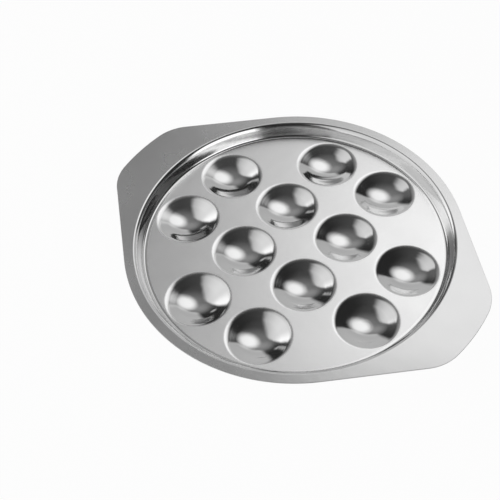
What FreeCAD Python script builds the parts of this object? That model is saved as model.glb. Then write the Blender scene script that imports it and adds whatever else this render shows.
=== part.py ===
import FreeCAD, Part
import math
import os

import Sketcher
from FreeCAD import Placement, Rotation, Vector

# Escargot plate, pressed from one sheet of stainless steel, in millimetres.
# +Z is up and +X runs through the two ears. The origin is under the plate's centre,
# level with the lowest points of the bowls, which the plate stands on.
# Every section below is drawn by its upper face and has the same sheet gauge.

NODE = "escargot_plate"

SIZES = {
    # The sheet
    "sheet_gauge": 0.7,
    # A bowl: a round bottom, a straight sloping side and a wide rounded lip
    "bowl_radius": 19.6,
    "bowl_depth": 5.9,
    "bowl_side_slope": 26.0,
    "bowl_lip_radius": 4.0,
    # The flat floor between two bowls, and between the outer bowls and the pan's wall
    "bowl_gap": 3.7,
    "floor_margin": 1.0,
    # The pan's wall, which stands between two bends
    "pan_depth": 8.0,
    "wall_run": 6.4,
    "top_bend_radius": 3.5,
    "bottom_bend_radius": 1.8,
    # The flange: a narrow round rim with two ears
    "rim_width": 5.2,
    "ear_length": 20.0,
    "ear_side_slope": 43.6,
    "ear_corner_radius": 28.0,
}

# Half pitches from the centre to the three bowls of one quarter of the plate
QUARTER_BOWLS = {"inner_bowl": (1, 1), "long_side_bowl": (3, 1), "short_side_bowl": (1, 3)}
QUARTERS = 4

# Sizes that follow from the sheet, from the bowls outwards and from the bottom up
BOWL_PITCH = "(2 * Sizes.bowl_radius + Sizes.bowl_gap)"
OUTER_BOWLS = f"({BOWL_PITCH} / 2 * hypot(3; 1))"
FLOOR_RADIUS = f"({OUTER_BOWLS} + Sizes.bowl_radius + Sizes.floor_margin)"
MOUTH_RADIUS = f"({FLOOR_RADIUS} + Sizes.wall_run)"
RIM_RADIUS = f"({MOUTH_RADIUS} + Sizes.rim_width)"
EAR_REACH = f"({RIM_RADIUS} + Sizes.ear_length)"
FLOOR_LEVEL = "(Sizes.sheet_gauge + Sizes.bowl_depth)"
FLANGE_LEVEL = f"({FLOOR_LEVEL} + Sizes.pan_depth)"

# The sketcher's own numbers for a curve's start, end and centre, the origin and the upright axis
START, END, CENTRE = range(1, 4)
ORIGIN, V_AXIS = (-1, 1), (-2,)


def make_size_sheet(doc):
    """One cell for each size, under its own name."""
    sheet = doc.addObject("Spreadsheet::Sheet", "Sizes")
    for row, (name, value) in enumerate(SIZES.items(), start=1):
        sheet.set(f"A{row}", name)
        sheet.set(f"B{row}", str(value))
        sheet.setAlias(f"B{row}", name)
    doc.recompute()
    return sheet


def origin_feature(body, role):
    return next(item for item in body.Origin.OriginFeatures if item.Role == role)


def new_sketch(body, name, plane):
    sketch = body.newObject("Sketcher::SketchObject", name)
    sketch.AttachmentSupport = (origin_feature(body, plane), [""])
    sketch.MapMode = "FlatFace"
    return sketch


def circle_arc(centre, radius, start_degrees, end_degrees):
    circle = Part.Circle(Vector(centre[0], centre[1], 0), Vector(0, 0, 1), radius)
    return Part.ArcOfCircle(circle, math.radians(start_degrees), math.radians(end_degrees))


def line(start, end):
    return Part.LineSegment(Vector(start[0], start[1], 0), Vector(end[0], end[1], 0))


def polar(radius, degrees, centre=(0.0, 0.0)):
    angle = math.radians(degrees)
    return (centre[0] + radius * math.cos(angle), centre[1] + radius * math.sin(angle))


def value_of(sheet, expression):
    """The number that an expression comes to with the sheet's present sizes."""
    return float(sheet.evalExpression(expression))


def bind(sketch, name, expression, *constraint):
    """Add a dimension of the present value and tie it to the sheet."""
    value = value_of(sketch, expression)
    if constraint[0] == "Angle":
        value = math.radians(value)
    index = sketch.addConstraint(Sketcher.Constraint(*constraint, value))
    sketch.renameConstraint(index, name)
    sketch.setExpression(f"Constraints.{name}", expression)


def tie(sketch, kind, *where):
    sketch.addConstraint(Sketcher.Constraint(kind, *where))


def fully_drawn(sketch):
    """A sketch counts only when it is solved and has nothing left free."""
    if sketch.solve() != 0:
        raise RuntimeError(f"{sketch.Name} has constraints that can't be met")
    if not sketch.FullyConstrained:
        raise RuntimeError(f"{sketch.Name} has something left free")
    return sketch


def draw_flange(body, sheet):
    """The outline has straight sides that leave the round rim at a tangent, and the pan's mouth is open."""
    sketch = new_sketch(body, "flange_outline", "XY_Plane")
    sketch.setExpression("AttachmentOffset.Base.z", f"{FLANGE_LEVEL} - Sizes.sheet_gauge")
    rim_radius = value_of(sheet, RIM_RADIUS)
    ear_reach = value_of(sheet, EAR_REACH)
    corner_radius = sheet.ear_corner_radius
    tangent_angle = 90.0 - sheet.ear_side_slope
    to_corner = ear_reach - corner_radius
    turn = math.degrees(math.acos((rim_radius - corner_radius) / to_corner))
    corner_angle = tangent_angle - turn
    centre = polar(to_corner, corner_angle)
    corners = {}
    sides = {}
    for right, up in ((1, 1), (-1, 1), (-1, -1), (1, -1)):
        placed = (right * centre[0], up * centre[1])
        toward_end = corner_angle if right > 0 else 180.0 - corner_angle
        toward_side = tangent_angle if right > 0 else 180.0 - tangent_angle
        first, last = sorted((up * toward_end, up * toward_side))
        arc = circle_arc(placed, corner_radius, first, last)
        corners[right, up] = sketch.addGeometry(arc)
        rim_point = polar(rim_radius, up * toward_side)
        corner_point = polar(corner_radius, up * toward_side, placed)
        sides[right, up] = sketch.addGeometry(line(rim_point, corner_point))

    upper_rim = sketch.addGeometry(
        circle_arc((0, 0), rim_radius, tangent_angle, 180.0 - tangent_angle))
    lower_rim = sketch.addGeometry(
        circle_arc((0, 0), rim_radius, 180.0 + tangent_angle, 360.0 - tangent_angle))
    right_end = sketch.addGeometry(circle_arc((0, 0), ear_reach, -corner_angle, corner_angle))
    left_end = sketch.addGeometry(
        circle_arc((0, 0), ear_reach, 180.0 - corner_angle, 180.0 + corner_angle))
    mouth = sketch.addGeometry(Part.Circle(Vector(), Vector(0, 0, 1), value_of(sheet, MOUTH_RADIUS)))

    for arc in (upper_rim, lower_rim, right_end, left_end, mouth):
        tie(sketch, "Coincident", arc, CENTRE, *ORIGIN)
    # Each arc runs anticlockwise, so the four joints at each ear follow its corners round
    tie(sketch, "Tangent", right_end, END, corners[1, 1], START)
    tie(sketch, "Tangent", corners[1, 1], END, sides[1, 1], END)
    tie(sketch, "Tangent", sides[1, 1], START, upper_rim, START)
    tie(sketch, "Tangent", upper_rim, END, sides[-1, 1], START)
    tie(sketch, "Tangent", sides[-1, 1], END, corners[-1, 1], START)
    tie(sketch, "Tangent", corners[-1, 1], END, left_end, START)
    tie(sketch, "Tangent", left_end, END, corners[-1, -1], START)
    tie(sketch, "Tangent", corners[-1, -1], END, sides[-1, -1], END)
    tie(sketch, "Tangent", sides[-1, -1], START, lower_rim, START)
    tie(sketch, "Tangent", lower_rim, END, sides[1, -1], START)
    tie(sketch, "Tangent", sides[1, -1], END, corners[1, -1], START)
    tie(sketch, "Tangent", corners[1, -1], END, right_end, START)
    # The ears are alike on both sides of both axes
    tie(sketch, "Equal", upper_rim, lower_rim)
    tie(sketch, "Equal", right_end, left_end)
    for corner in ((-1, 1), (-1, -1), (1, -1)):
        tie(sketch, "Equal", corners[1, 1], corners[corner])
    tie(sketch, "Horizontal", corners[1, 1], CENTRE, corners[-1, 1], CENTRE)
    tie(sketch, "Vertical", corners[1, 1], CENTRE, corners[1, -1], CENTRE)
    tie(sketch, "Vertical", corners[-1, 1], CENTRE, corners[-1, -1], CENTRE)
    bind(sketch, "rim_radius", RIM_RADIUS, "Radius", upper_rim)
    bind(sketch, "ear_reach", EAR_REACH, "Radius", right_end)
    bind(sketch, "mouth_radius", MOUTH_RADIUS, "Radius", mouth)
    bind(sketch, "corner_radius", "Sizes.ear_corner_radius", "Radius", corners[1, 1])
    bind(sketch, "side_slope", "-Sizes.ear_side_slope", "Angle", sides[1, 1])
    return fully_drawn(sketch)


def wall_slope(sheet):
    """Angle of the pan's wall to the floor, where it touches both bends, in degrees."""
    bends = sheet.top_bend_radius + sheet.bottom_bend_radius
    rise = sheet.pan_depth - bends
    between_centres = math.hypot(sheet.wall_run, rise)
    return math.degrees(math.atan2(rise, sheet.wall_run) + math.asin(bends / between_centres))


def bottom_radius(sheet):
    """Radius of a bowl's round bottom, inside, which its straight side and its depth leave room for."""
    slope = math.radians(sheet.bowl_side_slope)
    short_of_cone = sheet.bowl_radius * math.tan(slope) - sheet.bowl_depth
    return short_of_cone / (1.0 / math.cos(slope) - 1.0) - sheet.bowl_lip_radius


def draw_wall_section(sketch, gauge, bottom_centre, bottom, top_centre, top, slope):
    """Hollow curve, straight wall and outward curve, one sheet thick, with both ends left open.

    Gives the lower curve, the wall and the upper curve, first of the upper face, then of the back.
    """
    faces = []
    for low_radius, high_radius in ((bottom, top), (bottom + gauge, top - gauge)):
        lower = circle_arc(bottom_centre, low_radius, -90.0, slope - 90.0)
        upper = circle_arc(top_centre, high_radius, 90.0, slope + 90.0)
        wall = line(polar(low_radius, slope - 90.0, bottom_centre),
                    polar(high_radius, slope + 90.0, top_centre))
        faces.append([sketch.addGeometry(item) for item in (lower, wall, upper)])
    edge_top = (top_centre[0], top_centre[1] + top)
    edge = sketch.addGeometry(line(edge_top, (edge_top[0], edge_top[1] - gauge)))
    for lower, wall, upper in faces:
        tie(sketch, "Tangent", lower, END, wall, START)
        tie(sketch, "Tangent", wall, END, upper, END)
    (lower_face, _, upper_face), (lower_back, _, upper_back) = faces
    tie(sketch, "Coincident", upper_face, START, edge, START)
    tie(sketch, "Coincident", edge, END, upper_back, START)
    tie(sketch, "Coincident", lower_face, CENTRE, lower_back, CENTRE)
    tie(sketch, "Coincident", upper_face, CENTRE, upper_back, CENTRE)
    tie(sketch, "Vertical", edge)
    tie(sketch, "Vertical", upper_face, CENTRE, upper_face, START)
    bind(sketch, "gauge", "Sizes.sheet_gauge", "DistanceY", edge, END, edge, START)
    return faces


def draw_pan_section(body, sheet):
    """Half section of the pan: floor, lower bend, wall and upper bend."""
    sketch = new_sketch(body, "pan_section", "XZ_Plane")
    gauge = sheet.sheet_gauge
    floor = value_of(sheet, FLOOR_LEVEL)
    flange = value_of(sheet, FLANGE_LEVEL)
    foot = value_of(sheet, FLOOR_RADIUS)
    mouth = value_of(sheet, MOUTH_RADIUS)
    low = (foot, floor + sheet.bottom_bend_radius)
    high = (mouth, flange - sheet.top_bend_radius)
    faces = draw_wall_section(sketch, gauge, low, sheet.bottom_bend_radius,
                              high, sheet.top_bend_radius, wall_slope(sheet))
    (lower_face, _, upper_face), (lower_back, _, _) = faces

    floor_face = sketch.addGeometry(line((0, floor), (foot, floor)))
    floor_back = sketch.addGeometry(line((0, floor - gauge), (foot, floor - gauge)))
    middle = sketch.addGeometry(line((0, floor), (0, floor - gauge)))
    tie(sketch, "Tangent", floor_face, END, lower_face, START)
    tie(sketch, "Tangent", floor_back, END, lower_back, START)
    tie(sketch, "Coincident", floor_face, START, middle, START)
    tie(sketch, "Coincident", middle, END, floor_back, START)
    tie(sketch, "Horizontal", floor_face)
    tie(sketch, "Horizontal", floor_back)
    tie(sketch, "PointOnObject", floor_face, START, *V_AXIS)
    tie(sketch, "PointOnObject", floor_back, START, *V_AXIS)
    bind(sketch, "floor_level", FLOOR_LEVEL, "DistanceY", *ORIGIN, floor_face, START)
    bind(sketch, "flange_level", FLANGE_LEVEL, "DistanceY", *ORIGIN, upper_face, START)
    bind(sketch, "floor_radius", FLOOR_RADIUS, "DistanceX", *ORIGIN, floor_face, END)
    bind(sketch, "mouth_radius", MOUTH_RADIUS, "DistanceX", *ORIGIN, upper_face, START)
    bind(sketch, "lower_bend", "Sizes.bottom_bend_radius", "Radius", lower_face)
    bind(sketch, "upper_bend", "Sizes.top_bend_radius", "Radius", upper_face)
    bind(sketch, "floor_gauge", "Sizes.sheet_gauge", "DistanceY", middle, END, middle, START)
    return fully_drawn(sketch)


def draw_bowl_hole(body, name, column, row):
    """The circle of floor that is pressed down into a bowl."""
    sketch = new_sketch(body, name + "_hole", "XY_Plane")
    sketch.setExpression("AttachmentOffset.Base.x", f"{BOWL_PITCH} * {column} / 2")
    sketch.setExpression("AttachmentOffset.Base.y", f"{BOWL_PITCH} * {row} / 2")
    sketch.setExpression("AttachmentOffset.Base.z", FLOOR_LEVEL)
    circle = sketch.addGeometry(Part.Circle(Vector(), Vector(0, 0, 1), SIZES["bowl_radius"]))
    tie(sketch, "Coincident", circle, CENTRE, *ORIGIN)
    bind(sketch, "radius", "Sizes.bowl_radius", "Radius", circle)
    return fully_drawn(sketch)


def draw_bowl_section(body, name, column, row, sheet):
    """Half section of a bowl: round bottom, straight side and the lip that meets the floor."""
    sketch = new_sketch(body, name + "_section", "XZ_Plane")
    sketch.setExpression("AttachmentOffset.Base.x", f"{BOWL_PITCH} * {column} / 2")
    sketch.setExpression("AttachmentOffset.Base.z", f"-{BOWL_PITCH} * {row} / 2")
    gauge = sheet.sheet_gauge
    floor = value_of(sheet, FLOOR_LEVEL)
    bottom = bottom_radius(sheet)
    lip = (sheet.bowl_radius, floor - sheet.bowl_lip_radius)
    faces = draw_wall_section(sketch, gauge, (0.0, gauge + bottom), bottom,
                              lip, sheet.bowl_lip_radius, sheet.bowl_side_slope)
    (bowl_face, side_face, lip_face), (bowl_back, _, _) = faces

    middle = sketch.addGeometry(line((0, gauge), (0, 0)))
    tie(sketch, "Coincident", bowl_face, START, middle, START)
    tie(sketch, "Coincident", middle, END, bowl_back, START)
    tie(sketch, "Coincident", bowl_back, START, *ORIGIN)
    tie(sketch, "PointOnObject", bowl_face, CENTRE, *V_AXIS)
    tie(sketch, "PointOnObject", bowl_face, START, *V_AXIS)
    bind(sketch, "bowl_radius", "Sizes.bowl_radius", "DistanceX", *ORIGIN, lip_face, START)
    bind(sketch, "floor_level", FLOOR_LEVEL, "DistanceY", *ORIGIN, lip_face, START)
    bind(sketch, "lip_radius", "Sizes.bowl_lip_radius", "Radius", lip_face)
    bind(sketch, "side_slope", "Sizes.bowl_side_slope", "Angle", side_face)
    bind(sketch, "bottom_gauge", "Sizes.sheet_gauge", "DistanceY", middle, END, middle, START)
    return fully_drawn(sketch)


def turn_section(body, name, sketch):
    """Turn a half section about its own upright axis."""
    turned = body.newObject("PartDesign::Revolution", name)
    turned.Profile = sketch
    turned.ReferenceAxis = (sketch, ["V_Axis"])
    turned.Angle = 360.0
    return turned


def cut_bowl_hole(body, name, sketch):
    hole = body.newObject("PartDesign::Pocket", name)
    hole.Profile = sketch
    hole.setExpression("Length", "Sizes.sheet_gauge")
    return hole


def check_change(doc, feature, grows):
    """A feature that leaves the volume as it was, or moves it the wrong way, has failed."""
    doc.recompute()
    change = feature.Shape.Volume - feature.BaseFeature.Shape.Volume
    if change == 0.0 or (change > 0.0) != grows:
        raise RuntimeError(f"{feature.Name} changed the volume by {change:.3f} cubic mm")
    print(f"{feature.Name}: {change:+.1f} cubic mm")


def make_plate(doc, sheet):
    body = doc.addObject("PartDesign::Body", "plate")
    body.Label = NODE
    body.Placement = Placement(Vector(0, 0, 0), Rotation())

    flange = body.newObject("PartDesign::Pad", "flange")
    flange.Profile = draw_flange(body, sheet)
    flange.setExpression("Length", "Sizes.sheet_gauge")
    doc.recompute()

    pan = turn_section(body, "pan", draw_pan_section(body, sheet))
    check_change(doc, pan, grows=True)

    pressed = []
    for name, (column, row) in QUARTER_BOWLS.items():
        hole = cut_bowl_hole(body, name + "_opening", draw_bowl_hole(body, name, column, row))
        check_change(doc, hole, grows=False)
        bowl = turn_section(body, name, draw_bowl_section(body, name, column, row, sheet))
        check_change(doc, bowl, grows=True)
        pressed += [hole, bowl]

    pattern = body.newObject("PartDesign::PolarPattern", "quarters")
    pattern.Originals = pressed
    pattern.Axis = (origin_feature(body, "Z_Axis"), [""])
    pattern.Angle = 360.0
    pattern.Occurrences = QUARTERS
    body.Tip = pattern
    check_change(doc, pattern, grows=True)
    return body


def check_document(doc):
    for item in doc.Objects:
        if "Invalid" in item.State or "Error" in item.State:
            raise RuntimeError(f"{item.Name} did not build: {item.State}")


def write_part(body):
    shape = body.Shape
    if shape.isNull() or not shape.isValid():
        raise RuntimeError(f"{body.Label} has no valid shape")
    if len(shape.Solids) != 1:
        raise RuntimeError(f"{body.Label} is {len(shape.Solids)} solids, and it is pressed from one sheet")
    os.makedirs("parts", exist_ok=True)
    shape.exportStep(f"parts/{body.Label}.step")
    box = shape.optimalBoundingBox()
    print(f"{body.Label}: {box.XLength:.2f} x {box.YLength:.2f} x {box.ZLength:.2f} mm,"
          f" {shape.Volume:.0f} cubic mm, {len(shape.Faces)} faces")


def main():
    doc = FreeCAD.newDocument("EscargotPlate")
    sheet = make_size_sheet(doc)
    body = make_plate(doc, sheet)
    doc.recompute()
    check_document(doc)
    write_part(body)


main()
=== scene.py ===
import math

import bmesh
import bpy
from mathutils import Matrix, Vector


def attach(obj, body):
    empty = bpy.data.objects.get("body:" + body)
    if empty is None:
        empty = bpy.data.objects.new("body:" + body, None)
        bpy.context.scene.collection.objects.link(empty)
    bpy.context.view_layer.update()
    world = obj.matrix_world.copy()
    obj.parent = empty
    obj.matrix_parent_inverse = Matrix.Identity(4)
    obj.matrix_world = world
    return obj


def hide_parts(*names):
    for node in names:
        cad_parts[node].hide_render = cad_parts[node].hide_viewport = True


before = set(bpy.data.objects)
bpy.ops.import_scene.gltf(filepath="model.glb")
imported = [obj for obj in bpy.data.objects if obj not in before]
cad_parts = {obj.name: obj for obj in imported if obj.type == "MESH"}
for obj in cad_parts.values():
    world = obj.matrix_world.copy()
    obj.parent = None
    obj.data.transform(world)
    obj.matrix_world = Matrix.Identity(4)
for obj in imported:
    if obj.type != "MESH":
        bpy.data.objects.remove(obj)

# Looks of the escargot plate, in metres. Z is up and X runs through the two ears.
# One piece stands for the pressed sheet: the same form as the solid, with round bends,
# and its own finishes for the flange, the floor, and the polished wall and bowls.

NODE = "escargot_plate"

# The sheet and its bowls
SHEET_GAUGE = 0.0007
BOWL_RADIUS = 0.0196
BOWL_DEPTH = 0.0059
BOWL_SIDE_SLOPE = math.radians(26.0)
BOWL_LIP_RADIUS = 0.0040
BOWL_GAP = 0.0037
FLOOR_MARGIN = 0.0010

# The pan's wall
PAN_DEPTH = 0.0080
WALL_RUN = 0.0064
TOP_BEND_RADIUS = 0.0035
BOTTOM_BEND_RADIUS = 0.0018

# The flange and its ears
RIM_WIDTH = 0.0052
EAR_LENGTH = 0.0200
EAR_SIDE_SLOPE = math.radians(43.6)
EAR_CORNER_RADIUS = 0.0280
EDGE_ROUNDING = 0.00018
# Keeps the edge inside the solid's box, whose round outline is cut into short straight lines
EDGE_INSET = 0.00005

# Sizes that follow
BOWL_PITCH = 2.0 * BOWL_RADIUS + BOWL_GAP
OUTER_BOWLS = BOWL_PITCH / 2.0 * math.hypot(3.0, 1.0)
FLOOR_RADIUS = OUTER_BOWLS + BOWL_RADIUS + FLOOR_MARGIN
MOUTH_RADIUS = FLOOR_RADIUS + WALL_RUN
RIM_RADIUS = MOUTH_RADIUS + RIM_WIDTH
EAR_REACH = RIM_RADIUS + EAR_LENGTH
FLOOR_LEVEL = SHEET_GAUGE + BOWL_DEPTH
FLANGE_LEVEL = FLOOR_LEVEL + PAN_DEPTH

# Half pitches from the centre to each bowl: a four by four grid without its corners
BOWL_PLACES = [(column, row) for row in (3, 1, -1, -3) for column in (-3, -1, 1, 3)
               if abs(column) + abs(row) < 6]

# How the light plays on the sheet. The mesh keeps the solid's form, and these change its normals
# alone: the slope that the wall shows, how tight its head looks, how far the flange droops outward,
# and how wide a bowl's lip looks
WALL_SHOWN_SLOPE = math.radians(69.0)
HEAD_TIGHTNESS = 2.0
FLANGE_DROOP = math.radians(2.2)
LIP_SHOWN_WIDTH = 0.0024

# Steps round a bowl, round the pan, along one bend of a section, and over a corner of the cut edge
BOWL_STEPS = 96
PAN_STEPS = 480
BEND_STEPS = 8
EDGE_STEPS = 4

# Colour and roughness of the pressed side: the polished bowls, the satin floor, the wall and the flange
# The floor's colour is painted light: it is the same steel as the rest, made lighter so that it shows
# brighter than its lamps alone would make it
UPPER_COLOURS = (0.77, 1.0, 0.77, 0.77)
UPPER_ROUGHNESSES = (0.09, 0.32, 0.12, 0.26)
UPPER_GRAIN = 0.015
# The same, and the grain, of the cut edge and of the back
EDGE_COLOUR, EDGE_ROUGHNESS, EDGE_GRAIN = 0.5, 0.4, 0.2
BACK_COLOUR, BACK_ROUGHNESS, BACK_GRAIN = 0.72, 0.30, 0.1
# A face that looks down belongs to the back, and a steep one outside the pan to the cut edge
BACK_TILT = -0.05
EDGE_TILT = 0.85

# How wide each finish fades into the next: on a bowl's lip, by the wall's foot, where the shine
# reaches a little onto the floor, and at the mouth
LIP_BLEND = 0.0024
FOOT_SHINE = 0.0014
FOOT_BLEND = 0.0012
MOUTH_BLEND = 0.0012

# Uneven gloss: its scale, the span of the noise that it uses, and how far gloss and tint change
CLOUD_SCALE = 38.0
CLOUD_DETAIL = 4.0
CLOUD_SPAN = (0.3, 0.7)
CLOUD_CHANGE = 0.07
TINT_CHANGE = 0.03
# Soft ripple, grain, and the fine rings that polishing leaves in a bowl: scale and height
RELIEF_DETAIL = 2.0
RIPPLE_SCALE, RIPPLE_HEIGHT = 150.0, 0.00004
GRAIN_SCALE, GRAIN_HEIGHT = 1400.0, 0.00002
MARK_SCALE, MARK_HEIGHT = 450.0, 0.000025
MARK_SPAN = (0.35, 0.65)

# The photograph's frame and camera
FRAME_PIXELS = 500.0
FOCAL_PIXELS = 951.885
PICTURE_CENTRE = (290.5, 262.5)
CAMERA_AZIMUTH = math.radians(36.762)
CAMERA_ELEVATION = math.radians(52.139)
CAMERA_ROLL = math.radians(-1.089)
CAMERA_DISTANCE = 0.555274
CAMERA_TARGET = Vector((0.005903, -0.012796, 0.0063))
SENSOR_WIDTH = 36.0

# Two domes of light, a near one that is seen through and a far one: how far they stand from the plate,
# their rim in degrees from straight up, how finely they are divided, and the strength between the lamps
NEAR_DISTANCE = 0.90
FAR_DISTANCE = 1.50
DOME_RIM = 94.0
DOME_ROWS = 94
DOME_COLUMNS = 300
STUDIO_AIR = 0.025
# The table: its reach, how far it is below the plate, its paint, and the share of plain white
# in it as it is seen; the rest is paint, which holds the shadow
TABLE_REACH = 4.0
TABLE_GAP = 0.0001
TABLE_PAINT = (0.9, 0.9, 0.9, 1.0)
TABLE_GLOW = 0.96

UP = Vector((0.0, 0.0, 1.0))


def arc_section(centre, radius, start, end, steps, hollow):
    """Points of a bend as (radius, height, slope), with the slope running from start to end."""
    points = []
    for step in range(steps + 1):
        slope = start + (end - start) * step / steps
        if hollow:
            points.append((centre[0] + radius * math.sin(slope),
                           centre[1] - radius * math.cos(slope), slope))
        else:
            points.append((centre[0] - radius * math.sin(slope),
                           centre[1] + radius * math.cos(slope), slope))
    return points


def wall_slope():
    """Angle of the pan's wall to the floor, where it touches both bends."""
    bends = TOP_BEND_RADIUS + BOTTOM_BEND_RADIUS
    between_centres = math.hypot(WALL_RUN, PAN_DEPTH - bends)
    return math.atan2(PAN_DEPTH - bends, WALL_RUN) + math.asin(bends / between_centres)


def bottom_radius():
    """Radius of a bowl's round bottom, which its straight side and its depth leave room for."""
    short_of_cone = BOWL_RADIUS * math.tan(BOWL_SIDE_SLOPE) - BOWL_DEPTH
    return short_of_cone / (1.0 / math.cos(BOWL_SIDE_SLOPE) - 1.0) - BOWL_LIP_RADIUS


def straight_section(start, end, steps):
    """Points between two others that share a slope, without the two ends."""
    return [(start[0] + (end[0] - start[0]) * step / steps,
             start[1] + (end[1] - start[1]) * step / steps, start[2])
            for step in range(1, steps)]


def bowl_section():
    """Upper face of a bowl from its middle out to the floor."""
    radius = bottom_radius()
    bottom = arc_section((0.0, SHEET_GAUGE + radius), radius, 0.0, BOWL_SIDE_SLOPE,
                         2 * BEND_STEPS, hollow=True)
    lip = arc_section((BOWL_RADIUS, FLOOR_LEVEL - BOWL_LIP_RADIUS), BOWL_LIP_RADIUS,
                      BOWL_SIDE_SLOPE, 0.0, BEND_STEPS, hollow=False)
    return bottom + straight_section(bottom[-1], lip[0], BEND_STEPS // 2) + lip


def wall_section():
    """Upper face of the pan's wall from the floor out to the flange."""
    slope = wall_slope()
    foot = arc_section((FLOOR_RADIUS, FLOOR_LEVEL + BOTTOM_BEND_RADIUS), BOTTOM_BEND_RADIUS,
                       0.0, slope, BEND_STEPS, hollow=True)
    head = arc_section((MOUTH_RADIUS, FLANGE_LEVEL - TOP_BEND_RADIUS), TOP_BEND_RADIUS,
                       slope, 0.0, BEND_STEPS, hollow=False)
    return foot + straight_section(foot[-1], head[0], BEND_STEPS // 2) + head


def wall_shown(radius, slope):
    """Slope that the wall's reflections show: a tight head and a flatter side."""
    share = slope / wall_slope()
    if radius > (FLOOR_RADIUS + MOUTH_RADIUS) / 2.0:
        share = 1.0 - (1.0 - share) ** HEAD_TIGHTNESS
        return WALL_SHOWN_SLOPE * share - FLANGE_DROOP * (1.0 - share)
    return WALL_SHOWN_SLOPE * share


def bowl_shown(radius, slope):
    """Slope that a bowl's reflections show: its own, with a wider lip."""
    return min(slope, BOWL_SIDE_SLOPE * (BOWL_RADIUS - radius) / LIP_SHOWN_WIDTH)


def plain_slope(radius, slope):
    """The back shows its own slope."""
    return slope


def back_section(section):
    """The same section one gauge below, square to the upper face."""
    return [(radius + SHEET_GAUGE * math.sin(slope), height - SHEET_GAUGE * math.cos(slope), slope)
            for radius, height, slope in section]


def outline_reach(angle):
    """Distance from the middle to the flange's edge, and the edge's outward direction."""
    quarter = math.atan2(abs(math.sin(angle)), abs(math.cos(angle)))
    side_angle = math.pi / 2.0 - EAR_SIDE_SLOPE
    to_corner = EAR_REACH - EAR_CORNER_RADIUS
    corner_angle = side_angle - math.acos((RIM_RADIUS - EAR_CORNER_RADIUS) / to_corner)
    side_length = to_corner * math.sin(side_angle - corner_angle)
    side_start = side_angle - math.atan2(side_length, RIM_RADIUS)
    if quarter >= side_angle:
        reach, outward = RIM_RADIUS, quarter
    elif quarter >= side_start:
        reach, outward = RIM_RADIUS / math.cos(side_angle - quarter), side_angle
    elif quarter > corner_angle:
        across = to_corner * math.sin(quarter - corner_angle)
        along = to_corner * math.cos(quarter - corner_angle)
        reach = along + math.sqrt(EAR_CORNER_RADIUS ** 2 - across ** 2)
        outward = quarter + math.asin(across / EAR_CORNER_RADIUS)
    else:
        reach, outward = EAR_REACH, quarter
    outward = math.copysign(outward, math.sin(angle))
    if math.cos(angle) < 0.0:
        outward = math.pi - outward
    return reach, outward


def edge_profile():
    """Steps over the cut edge, as the height of a corner's centre, the tilt, and the tilt that shows."""
    corners = [(FLANGE_LEVEL - EDGE_ROUNDING, math.pi / 2.0, FLANGE_DROOP),
               (FLANGE_LEVEL - SHEET_GAUGE + EDGE_ROUNDING, 0.0, 0.0)]
    profile = []
    for height, first, droop in corners:
        for step in range(EDGE_STEPS + 1):
            tilt = first - math.pi / 2.0 * step / EDGE_STEPS
            profile.append((height, tilt, min(tilt, math.pi / 2.0 - droop)))
    return profile


def edge_point(angle, height, tilt, shown):
    """A point of the cut edge and the normal that it shows."""
    reach, outward = outline_reach(angle)
    across = Vector((math.cos(outward), math.sin(outward), 0.0))
    middle = Vector((reach * math.cos(angle), reach * math.sin(angle), 0.0))
    middle -= across * (EDGE_ROUNDING + EDGE_INSET)
    middle.z = height
    place = middle + (across * math.cos(tilt) + UP * math.sin(tilt)) * EDGE_ROUNDING
    return place, across * math.cos(shown) + UP * math.sin(shown)


def edge_rings():
    """Rings of the flange from its face over the rounded cut edge to its back."""
    angles = [2.0 * math.pi * index / PAN_STEPS for index in range(PAN_STEPS)]
    return [[edge_point(angle, *step) for angle in angles] for step in edge_profile()]


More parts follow.
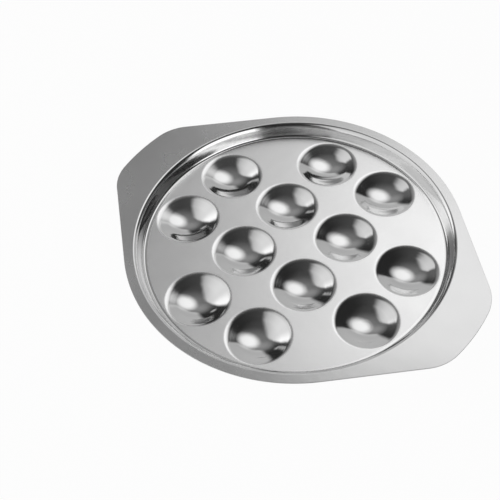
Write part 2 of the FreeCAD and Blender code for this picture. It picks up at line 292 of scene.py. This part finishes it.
class SheetMesh:
    """Builds the sheet ring by ring and keeps the normal that each point shows."""

    def __init__(self):
        self.mesh = bmesh.new()
        self.normals = []

    def point(self, place, normal):
        """A new point and the normal that it shows."""
        self.normals.append(Vector(normal))
        return self.mesh.verts.new(place)

    def turned_ring(self, centre, point, steps, side, shown):
        """One point of a section turned about an upright axis."""
        radius, height, slope = point
        slope = shown(radius, slope)
        ring = []
        for index in range(steps):
            angle = 2.0 * math.pi * index / steps
            out = Vector((math.cos(angle), math.sin(angle), 0.0))
            place = Vector(centre) + out * radius + UP * height
            normal = (UP * math.cos(slope) - out * math.sin(slope)) * side
            ring.append(self.point(place, normal))
        return ring

    def join(self, inner, outer, side):
        """The band of faces between two rings."""
        count = len(inner)
        for index in range(count):
            after = (index + 1) % count
            corners = [inner[index], outer[index], outer[after], inner[after]]
            self.mesh.faces.new(corners if side > 0 else corners[::-1])

    def turned_face(self, section, centre, steps, side, shown):
        """A section turned about an upright axis. Gives its first and last ring."""
        inner = first = None
        for point in section:
            outer = self.turned_ring(centre, point, steps, side, shown)
            if inner is None:
                first = outer
            else:
                self.join(inner, outer, side)
            inner = outer
        return first, inner

    def bowl(self, section, centre, side, shown):
        """A turned face closed at its middle. Gives the ring at the floor."""
        first, last = self.turned_face(section[1:], centre, BOWL_STEPS, side, shown)
        middle = self.point((centre[0], centre[1], section[0][1]), (0.0, 0.0, side))
        for index in range(BOWL_STEPS):
            corners = [middle, first[index], first[(index + 1) % BOWL_STEPS]]
            self.mesh.faces.new(corners if side > 0 else corners[::-1])
        return last

    def floor(self, rings, side):
        """The flat sheet between the pan's foot and the bowls."""
        edges = []
        for ring in rings:
            for index, corner in enumerate(ring):
                edges.append(self.mesh.edges.get((corner, ring[(index + 1) % len(ring)])))
        filled = bmesh.ops.triangle_fill(self.mesh, use_beauty=True, use_dissolve=False, edges=edges)
        for face in filled["geom"]:
            if isinstance(face, bmesh.types.BMFace):
                face.normal_update()
                if face.normal.z * side < 0.0:
                    face.normal_flip()

    def finished(self, name):
        """The mesh as an object in the scene."""
        data = bpy.data.meshes.new(name)
        self.mesh.to_mesh(data)
        self.mesh.free()
        for face in data.polygons:
            face.use_smooth = True
        data.normals_split_custom_set_from_vertices(self.normals)
        sheet = bpy.data.objects.new(name, data)
        bpy.context.collection.objects.link(sheet)
        return sheet


def make_sheet():
    """The whole pressed sheet: upper face, cut edge and back."""
    builder = SheetMesh()
    ends = []
    for side in (1.0, -1.0):
        bowl = bowl_section()
        wall = wall_section()
        bowl_look, wall_look = bowl_shown, wall_shown
        if side < 0.0:
            bowl = back_section(bowl)
            wall = back_section(wall)
            bowl_look = wall_look = plain_slope
        rings = []
        for column, row in BOWL_PLACES:
            centre = (column * BOWL_PITCH / 2.0, row * BOWL_PITCH / 2.0, 0.0)
            rings.append(builder.bowl(bowl, centre, side, bowl_look))
        foot, head = builder.turned_face(wall, (0.0, 0.0, 0.0), PAN_STEPS, side, wall_look)
        builder.floor(rings + [foot], side)
        ends.append(head)
    inner = ends[0]
    for ring in edge_rings():
        outer = [builder.point(place, normal) for place, normal in ring]
        builder.join(inner, outer, 1.0)
        inner = outer
    builder.join(inner, ends[1], 1.0)
    return builder.finished("pressed_sheet")


def node(tree, kind, **values):
    """A shader node with its settings and the values of its sockets."""
    made = tree.nodes.new(kind)
    for name, value in values.items():
        if name in made.inputs:
            made.inputs[name].default_value = value
        else:
            setattr(made, name, value)
    return made


def cleared_material(name):
    """A material with nothing but its output."""
    material = bpy.data.materials.new(name)
    material.use_nodes = True
    material.node_tree.nodes.clear()
    return material, material.node_tree, node(material.node_tree, "ShaderNodeOutputMaterial")


def maths(tree, operation, first, second):
    """The result of a sum on two values, each a socket or a number."""
    made = node(tree, "ShaderNodeMath", operation=operation)
    for socket, value in zip(made.inputs, (first, second)):
        if isinstance(value, bpy.types.NodeSocket):
            tree.links.new(value, socket)
        else:
            socket.default_value = value
    return made.outputs["Value"]


def vector_maths(tree, operation, first, second=(0.0, 0.0, 0.0)):
    """The node of a sum on a vector from a socket and a fixed one."""
    made = node(tree, "ShaderNodeVectorMath", operation=operation)
    tree.links.new(first, made.inputs[0])
    made.inputs[1].default_value = second
    return made


def ramp(tree, value, start, end, low=0.0, high=1.0):
    """Runs smoothly from low to high while the value runs from start to end."""
    span = {"From Min": start, "From Max": end, "To Min": low, "To Max": high}
    made = node(tree, "ShaderNodeMapRange", interpolation_type="SMOOTHSTEP", **span)
    tree.links.new(value, made.inputs["Value"])
    return made.outputs["Result"]


def grey(tree, shade):
    """A plain grey from a value."""
    made = node(tree, "ShaderNodeCombineColor")
    for channel in made.inputs:
        tree.links.new(shade, channel)
    return made.outputs["Color"]


def relief(tree, place, scale, height):
    """Low noise in the surface, as the node that bends its normal."""
    noise = node(tree, "ShaderNodeTexNoise", Scale=scale, Detail=RELIEF_DETAIL)
    tree.links.new(place, noise.inputs["Vector"])
    bump = node(tree, "ShaderNodeBump", Strength=1.0, Distance=height)
    tree.links.new(noise.outputs["Fac"], bump.inputs["Height"])
    return bump


def finish_shares(tree, place):
    """Shares of the finishes of the floor, the wall and the flange, and the distance from a bowl's middle.

    The bowls stand on a square grid, and its four corners have none.
    """
    flat = vector_maths(tree, "MULTIPLY", place, (1.0, 1.0, 0.0)).outputs["Vector"]
    radius = vector_maths(tree, "LENGTH", flat).outputs["Value"]
    cell = vector_maths(tree, "DIVIDE", flat, (BOWL_PITCH, BOWL_PITCH, 1.0)).outputs["Vector"]
    cell = vector_maths(tree, "FRACTION", cell).outputs["Vector"]
    cell = vector_maths(tree, "SUBTRACT", cell, (0.5, 0.5, 0.0)).outputs["Vector"]
    from_bowl = maths(tree, "MULTIPLY", vector_maths(tree, "LENGTH", cell).outputs["Value"], BOWL_PITCH)
    outside = ramp(tree, from_bowl, BOWL_RADIUS - LIP_BLEND, BOWL_RADIUS)
    sides = node(tree, "ShaderNodeSeparateXYZ")
    tree.links.new(vector_maths(tree, "ABSOLUTE", flat).outputs["Vector"], sides.inputs["Vector"])
    lesser = maths(tree, "MINIMUM", sides.outputs["X"], sides.outputs["Y"])
    outside = maths(tree, "MAXIMUM", outside, maths(tree, "GREATER_THAN", lesser, BOWL_PITCH))
    shine_start = FLOOR_RADIUS - FOOT_SHINE
    wall = ramp(tree, radius, shine_start, shine_start + FOOT_BLEND)
    floor = maths(tree, "MULTIPLY", outside, maths(tree, "SUBTRACT", 1.0, wall))
    flange = ramp(tree, radius, MOUTH_RADIUS - MOUTH_BLEND, MOUTH_RADIUS)
    return (floor, wall, flange), from_bowl


def blend(tree, shares, values):
    """A value that is the polish in the bowls and runs to the value of each other finish."""
    on_floor, on_wall, on_flange = shares
    polish, floor, wall, flange = values
    added = maths(tree, "ADD", maths(tree, "MULTIPLY", on_floor, floor - polish),
                  maths(tree, "MULTIPLY", on_wall, wall - polish))
    added = maths(tree, "ADD", added, maths(tree, "MULTIPLY", on_flange, flange - wall))
    return maths(tree, "ADD", added, polish)


def turning_marks(tree, shares, from_bowl, cloud):
    """Fine uneven rings inside a bowl, as the node that bends its normal."""
    rings = node(tree, "ShaderNodeTexNoise", noise_dimensions="1D", Scale=MARK_SCALE,
                 Detail=RELIEF_DETAIL)
    tree.links.new(from_bowl, rings.inputs["W"])
    on_floor, on_wall, _ = shares
    inside = maths(tree, "SUBTRACT", 1.0, maths(tree, "ADD", on_floor, on_wall))
    depth = maths(tree, "MULTIPLY", inside, ramp(tree, cloud, *MARK_SPAN))
    bump = node(tree, "ShaderNodeBump", Strength=1.0, Distance=MARK_HEIGHT)
    tree.links.new(maths(tree, "MULTIPLY", rings.outputs["Fac"], depth), bump.inputs["Height"])
    return bump


def steel(name, colour, roughness, grain):
    """Stainless steel with an uneven gloss and a fine grain.

    The colour and the roughness are a number, or for the pressed side a number for each finish.
    """
    material, tree, out = cleared_material(name)
    shader = node(tree, "ShaderNodeBsdfPrincipled", Metallic=1.0)
    links = tree.links
    links.new(shader.outputs["BSDF"], out.inputs["Surface"])
    place = node(tree, "ShaderNodeTexCoord").outputs["Object"]
    pressed = isinstance(colour, tuple)
    if pressed:
        shares, from_bowl = finish_shares(tree, place)
        # On the floor the colour runs to the floor's lighter one, which is painted light
        colour, roughness = blend(tree, shares, colour), blend(tree, shares, roughness)
    cloud = node(tree, "ShaderNodeTexNoise", Scale=CLOUD_SCALE, Detail=CLOUD_DETAIL)
    links.new(place, cloud.inputs["Vector"])
    gloss = ramp(tree, cloud.outputs["Fac"], *CLOUD_SPAN, 1.0 - CLOUD_CHANGE, 1.0 + CLOUD_CHANGE)
    links.new(maths(tree, "MULTIPLY", gloss, roughness), shader.inputs["Roughness"])
    tint = ramp(tree, cloud.outputs["Fac"], *CLOUD_SPAN, 1.0 - TINT_CHANGE, 1.0)
    links.new(grey(tree, maths(tree, "MULTIPLY", tint, colour)), shader.inputs["Base Color"])
    ripple = relief(tree, place, RIPPLE_SCALE, RIPPLE_HEIGHT)
    speck = relief(tree, place, GRAIN_SCALE, GRAIN_HEIGHT)
    speck.inputs["Strength"].default_value = grain
    links.new(ripple.outputs["Normal"], speck.inputs["Normal"])
    last = speck
    if pressed:
        last = turning_marks(tree, shares, from_bowl, cloud.outputs["Fac"])
        links.new(speck.outputs["Normal"], last.inputs["Normal"])
    links.new(last.outputs["Normal"], shader.inputs["Normal"])
    return material


def paint_sheet(sheet):
    """The pressed side, the cut edge and the plain back."""
    finishes = [
        steel("pressed_steel", UPPER_COLOURS, UPPER_ROUGHNESSES, UPPER_GRAIN),
        steel("cut_edge", EDGE_COLOUR, EDGE_ROUGHNESS, EDGE_GRAIN),
        steel("plain_steel_back", BACK_COLOUR, BACK_ROUGHNESS, BACK_GRAIN),
    ]
    upper, edge, back = range(len(finishes))
    for material in finishes:
        sheet.data.materials.append(material)
    for face in sheet.data.polygons:
        outside_pan = math.hypot(face.center.x, face.center.y) > MOUTH_RADIUS
        if face.normal.z < BACK_TILT:
            face.material_index = back
        elif face.normal.z < EDGE_TILT and outside_pan:
            face.material_index = edge
        else:
            face.material_index = upper


def direction(azimuth, zenith):
    """Unit vector at an azimuth from +X and an angle from straight up, in degrees."""
    turn, tilt = math.radians(azimuth), math.radians(zenith)
    return Vector((math.sin(tilt) * math.cos(turn), math.sin(tilt) * math.sin(turn), math.cos(tilt)))


def smooth(value):
    """Eases from 0 to 1, and stays there outside them."""
    value = min(max(value, 0.0), 1.0)
    return value * value * (3.0 - 2.0 * value)


def oval_lamp(centre, reach, turn, core, strength):
    """A soft oval light: full inside its core, fading to nothing at its reach."""
    middle = direction(*centre)
    side = middle.cross(UP).normalized()
    up = side.cross(middle)
    angle = math.radians(turn)
    long_axis = (side * math.cos(angle) + up * math.sin(angle)) / math.tan(math.radians(reach[0]))
    short_axis = (up * math.cos(angle) - side * math.sin(angle)) / math.tan(math.radians(reach[1]))

    def glow(toward):
        ahead = toward.dot(middle)
        if ahead <= 0.0:
            return 0.0
        away = math.hypot(toward.dot(long_axis), toward.dot(short_axis)) / ahead
        return strength * smooth((1.0 - away) / (1.0 - core))

    return glow


def bright_wall(corners, high, low, softness, span=(0, 90)):
    """Light inside four corners, top edge first, each edge fading over its own softness in degrees.

    Its strength runs from high to low over a span of angles from straight up.
    """
    places = [direction(*corner) for corner in corners]
    edges = [places[(index + 1) % 4].cross(place).normalized() for index, place in enumerate(places)]

    def glow(toward):
        inside = 1.0
        for edge, width in zip(edges, softness):
            depth = math.asin(min(max(toward.dot(edge), -1.0), 1.0))
            inside *= smooth(math.degrees(depth) / width)
        zenith = math.degrees(math.acos(min(max(toward.z, -1.0), 1.0)))
        return inside * (high + (low - high) * smooth((zenith - span[0]) / (span[1] - span[0])))

    return glow


def far_lights():
    """The lamp overhead, its wide haze, a second haze at its left, and the pale ceiling.

    Each place is an azimuth from the right ear and an angle from straight up, in degrees.
    """
    lamp = oval_lamp((98.5, 37.5), reach=(26.5, 25), turn=-8, core=0.33, strength=0.95)
    haze = oval_lamp((123, 32), reach=(44, 38), turn=-8, core=0.1, strength=0.145)
    left_haze = oval_lamp((142, 49), reach=(24, 19), turn=0, core=0.1, strength=0.14)
    ceiling = oval_lamp((175, 25), reach=(60, 55), turn=0, core=0.3, strength=0.045)
    return [lamp, haze, left_haze, ceiling]


def near_lights():
    """The bright walls round the plate, in the same directions."""
    left_softbox = bright_wall([(162, 26), (-58, 38), (-82, 94), (171, 94)],
                               high=0.46, low=0.80, softness=(11, 6, 3, 5), span=(18, 64))
    softbox_heart = oval_lamp((-140, 38), reach=(38, 24), turn=0, core=0.1, strength=0.22)
    left_window = bright_wall([(170, 42), (-158, 46), (-152, 94), (170, 94)],
                              high=0.45, low=0.45, softness=(18, 26, 3, 5))
    window_gleam = oval_lamp((160, 70), reach=(6, 4), turn=10, core=0.4, strength=0.45)
    right_window = bright_wall([(-30, 42), (20, 42), (22, 94), (-34, 94)],
                               high=1.4, low=1.4, softness=(5, 6, 3, 5))
    back_wall = bright_wall([(84, 55), (141, 56), (147, 94), (66, 94)],
                            high=0.46, low=0.54, softness=(5, 7, 3, 5), span=(50, 90))
    near_haze = oval_lamp((-68, 86), reach=(44, 26), turn=0, core=0.3, strength=0.14)
    right_haze = oval_lamp((58, 86), reach=(26, 24), turn=0, core=0.3, strength=0.14)
    return [near_haze, right_haze, left_softbox, softbox_heart, left_window, window_gleam,
            right_window, back_wall]


def dome_mesh(name, distance, lights, air):
    """A dome whose points carry the glow of every light in their direction."""
    points = []
    strengths = []
    faces = []
    for row in range(DOME_ROWS + 1):
        for column in range(DOME_COLUMNS):
            toward = direction(360.0 * column / DOME_COLUMNS, DOME_RIM * row / DOME_ROWS)
            points.append(toward * distance)
            strengths.append(air + sum(light(toward) for light in lights))
            if row < DOME_ROWS:
                first = row * DOME_COLUMNS
                after = first + (column + 1) % DOME_COLUMNS
                faces.append((first + column, first + column + DOME_COLUMNS,
                              after + DOME_COLUMNS, after))
    data = bpy.data.meshes.new(name)
    data.from_pydata(points, [], faces)
    data.attributes.new("glow", "FLOAT", "POINT").data.foreach_set("value", strengths)
    return data


def dome_material(name, seen_through):
    """The glow of a dome's points, with or without a view of what is behind."""
    material, tree, out = cleared_material(name)
    strength = node(tree, "ShaderNodeAttribute", attribute_name="glow")
    light = node(tree, "ShaderNodeEmission")
    both = node(tree, "ShaderNodeAddShader")
    tree.links.new(strength.outputs["Fac"], light.inputs["Strength"])
    tree.links.new(light.outputs["Emission"], both.inputs[0])
    if seen_through:
        tree.links.new(node(tree, "ShaderNodeBsdfTransparent").outputs["BSDF"], both.inputs[1])
    tree.links.new(both.outputs["Shader"], out.inputs["Surface"])
    material.cycles.emission_sampling = "NONE"
    return material


def make_dome(name, distance, lights, air, seen_through):
    """A dome of light round the plate, out of the camera's own sight."""
    data = dome_mesh(name, distance, lights, air)
    data.materials.append(dome_material(name, seen_through))
    dome = bpy.data.objects.new(name, data)
    bpy.context.collection.objects.link(dome)
    dome.visible_camera = False


def seen_rays(tree):
    """One for the rays of the camera, of a reflection and of a view through glass, else zero."""
    path = node(tree, "ShaderNodeLightPath").outputs
    seen = maths(tree, "MAXIMUM", path["Is Camera Ray"], path["Is Glossy Ray"])
    return maths(tree, "MAXIMUM", seen, path["Is Transmission Ray"])


def make_world():
    """White where it is seen; as a light it is only the air of the studio."""
    world = bpy.data.worlds.new("studio_air")
    bpy.context.scene.world = world
    world.use_nodes = True
    tree = world.node_tree
    shade = maths(tree, "MAXIMUM", seen_rays(tree), STUDIO_AIR)
    tree.links.new(grey(tree, shade), tree.nodes["Background"].inputs["Color"])


def table_material():
    """White to the camera and in the steel, with a little paint that keeps a faint shadow."""
    material, tree, out = cleared_material("white_table")
    paint = node(tree, "ShaderNodeBsdfDiffuse", Color=TABLE_PAINT)
    glow = node(tree, "ShaderNodeEmission", Strength=1.0)
    mix = node(tree, "ShaderNodeMixShader")
    tree.links.new(maths(tree, "MULTIPLY", seen_rays(tree), TABLE_GLOW), mix.inputs["Fac"])
    tree.links.new(paint.outputs["BSDF"], mix.inputs[1])
    tree.links.new(glow.outputs["Emission"], mix.inputs[2])
    tree.links.new(mix.outputs["Shader"], out.inputs["Surface"])
    return material


def make_table():
    """The table under the plate."""
    reach = TABLE_REACH
    data = bpy.data.meshes.new("table")
    data.from_pydata([(-reach, -reach, 0), (reach, -reach, 0), (reach, reach, 0), (-reach, reach, 0)],
                     [], [(0, 1, 2, 3)])
    data.materials.append(table_material())
    table = bpy.data.objects.new("table", data)
    bpy.context.collection.objects.link(table)
    table.location.z = -TABLE_GAP


def make_camera():
    """The photograph's camera: where it stands, its roll, its focal length and its shift."""
    back = Vector((math.sin(CAMERA_AZIMUTH) * math.cos(CAMERA_ELEVATION),
                   -math.cos(CAMERA_AZIMUTH) * math.cos(CAMERA_ELEVATION),
                   math.sin(CAMERA_ELEVATION)))
    level = (-back).cross(UP).normalized()
    upright = level.cross(-back)
    right = level * math.cos(CAMERA_ROLL) + upright * math.sin(CAMERA_ROLL)
    up = upright * math.cos(CAMERA_ROLL) - level * math.sin(CAMERA_ROLL)
    data = bpy.data.cameras.new("photo_camera")
    data.sensor_width = SENSOR_WIDTH
    data.lens = FOCAL_PIXELS / FRAME_PIXELS * SENSOR_WIDTH
    data.shift_x = (FRAME_PIXELS / 2.0 - PICTURE_CENTRE[0]) / FRAME_PIXELS
    data.shift_y = (PICTURE_CENTRE[1] - FRAME_PIXELS / 2.0) / FRAME_PIXELS
    camera = bpy.data.objects.new("photo_camera", data)
    bpy.context.collection.objects.link(camera)
    placed = Matrix((right, up, back)).transposed().to_4x4()
    placed.translation = CAMERA_TARGET + back * CAMERA_DISTANCE
    camera.matrix_world = placed
    bpy.context.scene.camera = camera


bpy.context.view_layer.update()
bpy.context.scene.view_settings.view_transform = "Standard"
sheet = make_sheet()
paint_sheet(sheet)
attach(sheet, "root")
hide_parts(NODE)
make_dome("near_dome", NEAR_DISTANCE, near_lights(), 0.0, seen_through=True)
make_dome("far_dome", FAR_DISTANCE, far_lights(), STUDIO_AIR, seen_through=False)
make_world()
make_table()
make_camera()
